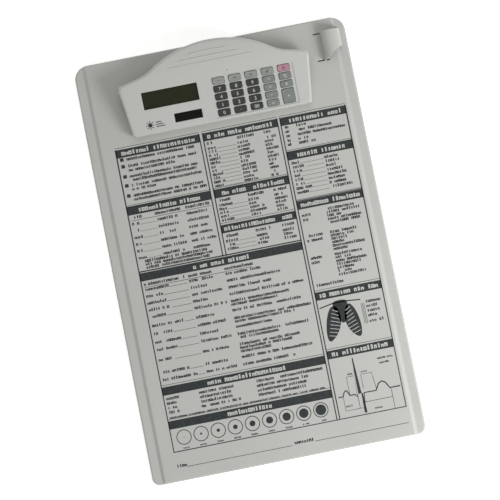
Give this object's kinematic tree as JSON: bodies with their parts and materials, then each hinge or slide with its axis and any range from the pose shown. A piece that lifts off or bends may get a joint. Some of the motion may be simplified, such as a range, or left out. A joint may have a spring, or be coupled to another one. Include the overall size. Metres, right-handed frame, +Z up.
{
  "type": "clipboard with calculator clip",
  "caption": "Clipboard whose sprung clip is a wide solar calculator with an arched press lever, with a pen loop at one corner and a reference chart printed on the board.",
  "frame": {"origin": "middle of the board's underside, on the surface the board lies on", "axes": "+X to the right across the board, +Y along it towards the clip, +Z up out of the writing surface"},
  "size_m": [0.24, 0.37, 0.0293],
  "materials": {
    "shell_plastic": "fine moulded texture, light warm grey",
    "dark_key_plastic": "satin moulded, charcoal",
    "grey_key_plastic": "satin moulded, mid grey",
    "light_key_plastic": "satin moulded, light grey",
    "red_key_plastic": "satin moulded, dusty pink",
    "clear_window": "clear polished, smoked by what lies below",
    "display_glass": "dark olive liquid crystal glass",
    "solar_glass": "near-black amorphous cell",
    "plated_steel": "bright zinc plate",
    "spring_steel": "drawn wire",
    "black_rubber": "moulded, matt",
    "circuit_laminate": "green solder mask",
    "chart_ink": "screen-printed charcoal ink"
  },
  "bodies": {
    "board": {"board": "shell_plastic", "pen_loop": "shell_plastic", "clip_base": "plated_steel", "base_rivet_1": "plated_steel", "base_rivet_2": "plated_steel", "base_rivet_3": "plated_steel", "base_rivet_4": "plated_steel", "hinge_pin": "plated_steel", "torsion_spring_left": "spring_steel", "torsion_spring_right": "spring_steel"},
    "clip": {"top_housing": "shell_plastic", "bottom_housing": "shell_plastic", "jaw_pad": "black_rubber", "lcd_lens": "clear_window", "lcd_panel": "display_glass", "zebra_strip": "black_rubber", "solar_window": "clear_window", "solar_cell": "solar_glass", "circuit_board": "circuit_laminate", "button_cell": "plated_steel", "battery_contact": "spring_steel", "battery_cover": "shell_plastic", "battery_cover_screw": "plated_steel", "case_screw_1": "plated_steel", "case_screw_2": "plated_steel", "case_screw_3": "plated_steel", "case_screw_4": "plated_steel", "key_mat": "black_rubber"},
    "key_0": {"key_0": "dark_key_plastic"},
    "key_point": {"key_point": "dark_key_plastic"},
    "key_double_zero": {"key_double_zero": "dark_key_plastic"},
    "key_equals": {"key_equals": "grey_key_plastic"},
    "key_1": {"key_1": "dark_key_plastic"},
    "key_2": {"key_2": "dark_key_plastic"},
    "key_3": {"key_3": "dark_key_plastic"},
    "key_minus": {"key_minus": "grey_key_plastic"},
    "key_plus": {"key_plus": "grey_key_plastic"},
    "key_4": {"key_4": "dark_key_plastic"},
    "key_5": {"key_5": "dark_key_plastic"},
    "key_6": {"key_6": "dark_key_plastic"},
    "key_times": {"key_times": "grey_key_plastic"},
    "key_sign": {"key_sign": "grey_key_plastic"},
    "key_7": {"key_7": "dark_key_plastic"},
    "key_8": {"key_8": "dark_key_plastic"},
    "key_9": {"key_9": "dark_key_plastic"},
    "key_divide": {"key_divide": "grey_key_plastic"},
    "key_percent": {"key_percent": "grey_key_plastic"},
    "key_memory_minus": {"key_memory_minus": "light_key_plastic"},
    "key_memory_recall": {"key_memory_recall": "light_key_plastic"},
    "key_memory_plus": {"key_memory_plus": "light_key_plastic"},
    "key_square_root": {"key_square_root": "light_key_plastic"},
    "key_clear": {"key_clear": "red_key_plastic"}
  },
  "joints": [
    {"name": "clip_hinge", "type": "hinge", "parent": "board", "child": "clip", "pos_m": [0, 0.14202, 0.0116], "axis": [-1, 0, 0], "range_deg": [0, 18], "stiffness_Nm_per_rad": 0.6, "springref_deg": -34.38, "deforming": ["torsion_spring_left", "torsion_spring_right"]},
    {"name": "key_0_press", "type": "slide", "parent": "clip", "child": "key_0", "axis": [0, 0.2419, -0.9703], "range_m": [0, 0.0008], "stiffness_N_per_m": 200, "springref_m": -0.002},
    {"name": "key_point_press", "type": "slide", "parent": "clip", "child": "key_point", "axis": [0, 0.2419, -0.9703], "range_m": [0, 0.0008], "stiffness_N_per_m": 200, "springref_m": -0.002},
    {"name": "key_double_zero_press", "type": "slide", "parent": "clip", "child": "key_double_zero", "axis": [0, 0.2419, -0.9703], "range_m": [0, 0.0008], "stiffness_N_per_m": 200, "springref_m": -0.002},
    {"name": "key_equals_press", "type": "slide", "parent": "clip", "child": "key_equals", "axis": [0, 0.2419, -0.9703], "range_m": [0, 0.0008], "stiffness_N_per_m": 200, "springref_m": -0.002},
    {"name": "key_1_press", "type": "slide", "parent": "clip", "child": "key_1", "axis": [0, 0.2419, -0.9703], "range_m": [0, 0.0008], "stiffness_N_per_m": 200, "springref_m": -0.002},
    {"name": "key_2_press", "type": "slide", "parent": "clip", "child": "key_2", "axis": [0, 0.2419, -0.9703], "range_m": [0, 0.0008], "stiffness_N_per_m": 200, "springref_m": -0.002},
    {"name": "key_3_press", "type": "slide", "parent": "clip", "child": "key_3", "axis": [0, 0.2419, -0.9703], "range_m": [0, 0.0008], "stiffness_N_per_m": 200, "springref_m": -0.002},
    {"name": "key_minus_press", "type": "slide", "parent": "clip", "child": "key_minus", "axis": [0, 0.2419, -0.9703], "range_m": [0, 0.0008], "stiffness_N_per_m": 200, "springref_m": -0.002},
    {"name": "key_plus_press", "type": "slide", "parent": "clip", "child": "key_plus", "axis": [0, 0.2419, -0.9703], "range_m": [0, 0.0008], "stiffness_N_per_m": 200, "springref_m": -0.002},
    {"name": "key_4_press", "type": "slide", "parent": "clip", "child": "key_4", "axis": [0, 0.2419, -0.9703], "range_m": [0, 0.0008], "stiffness_N_per_m": 200, "springref_m": -0.002},
    {"name": "key_5_press", "type": "slide", "parent": "clip", "child": "key_5", "axis": [0, 0.2419, -0.9703], "range_m": [0, 0.0008], "stiffness_N_per_m": 200, "springref_m": -0.002},
    {"name": "key_6_press", "type": "slide", "parent": "clip", "child": "key_6", "axis": [0, 0.2419, -0.9703], "range_m": [0, 0.0008], "stiffness_N_per_m": 200, "springref_m": -0.002},
    {"name": "key_times_press", "type": "slide", "parent": "clip", "child": "key_times", "axis": [0, 0.2419, -0.9703], "range_m": [0, 0.0008], "stiffness_N_per_m": 200, "springref_m": -0.002},
    {"name": "key_sign_press", "type": "slide", "parent": "clip", "child": "key_sign", "axis": [0, 0.2419, -0.9703], "range_m": [0, 0.0008], "stiffness_N_per_m": 200, "springref_m": -0.002},
    {"name": "key_7_press", "type": "slide", "parent": "clip", "child": "key_7", "axis": [0, 0.2419, -0.9703], "range_m": [0, 0.0008], "stiffness_N_per_m": 200, "springref_m": -0.002},
    {"name": "key_8_press", "type": "slide", "parent": "clip", "child": "key_8", "axis": [0, 0.2419, -0.9703], "range_m": [0, 0.0008], "stiffness_N_per_m": 200, "springref_m": -0.002},
    {"name": "key_9_press", "type": "slide", "parent": "clip", "child": "key_9", "axis": [0, 0.2419, -0.9703], "range_m": [0, 0.0008], "stiffness_N_per_m": 200, "springref_m": -0.002},
    {"name": "key_divide_press", "type": "slide", "parent": "clip", "child": "key_divide", "axis": [0, 0.2419, -0.9703], "range_m": [0, 0.0008], "stiffness_N_per_m": 200, "springref_m": -0.002},
    {"name": "key_percent_press", "type": "slide", "parent": "clip", "child": "key_percent", "axis": [0, 0.2419, -0.9703], "range_m": [0, 0.0008], "stiffness_N_per_m": 200, "springref_m": -0.002},
    {"name": "key_memory_minus_press", "type": "slide", "parent": "clip", "child": "key_memory_minus", "axis": [0, 0.2419, -0.9703], "range_m": [0, 0.0008], "stiffness_N_per_m": 200, "springref_m": -0.002},
    {"name": "key_memory_recall_press", "type": "slide", "parent": "clip", "child": "key_memory_recall", "axis": [0, 0.2419, -0.9703], "range_m": [0, 0.0008], "stiffness_N_per_m": 200, "springref_m": -0.002},
    {"name": "key_memory_plus_press", "type": "slide", "parent": "clip", "child": "key_memory_plus", "axis": [0, 0.2419, -0.9703], "range_m": [0, 0.0008], "stiffness_N_per_m": 200, "springref_m": -0.002},
    {"name": "key_square_root_press", "type": "slide", "parent": "clip", "child": "key_square_root", "axis": [0, 0.2419, -0.9703], "range_m": [0, 0.0008], "stiffness_N_per_m": 200, "springref_m": -0.002},
    {"name": "key_clear_press", "type": "slide", "parent": "clip", "child": "key_clear", "axis": [0, 0.2419, -0.9703], "range_m": [0, 0.0008], "stiffness_N_per_m": 200, "springref_m": -0.002}
  ]
}
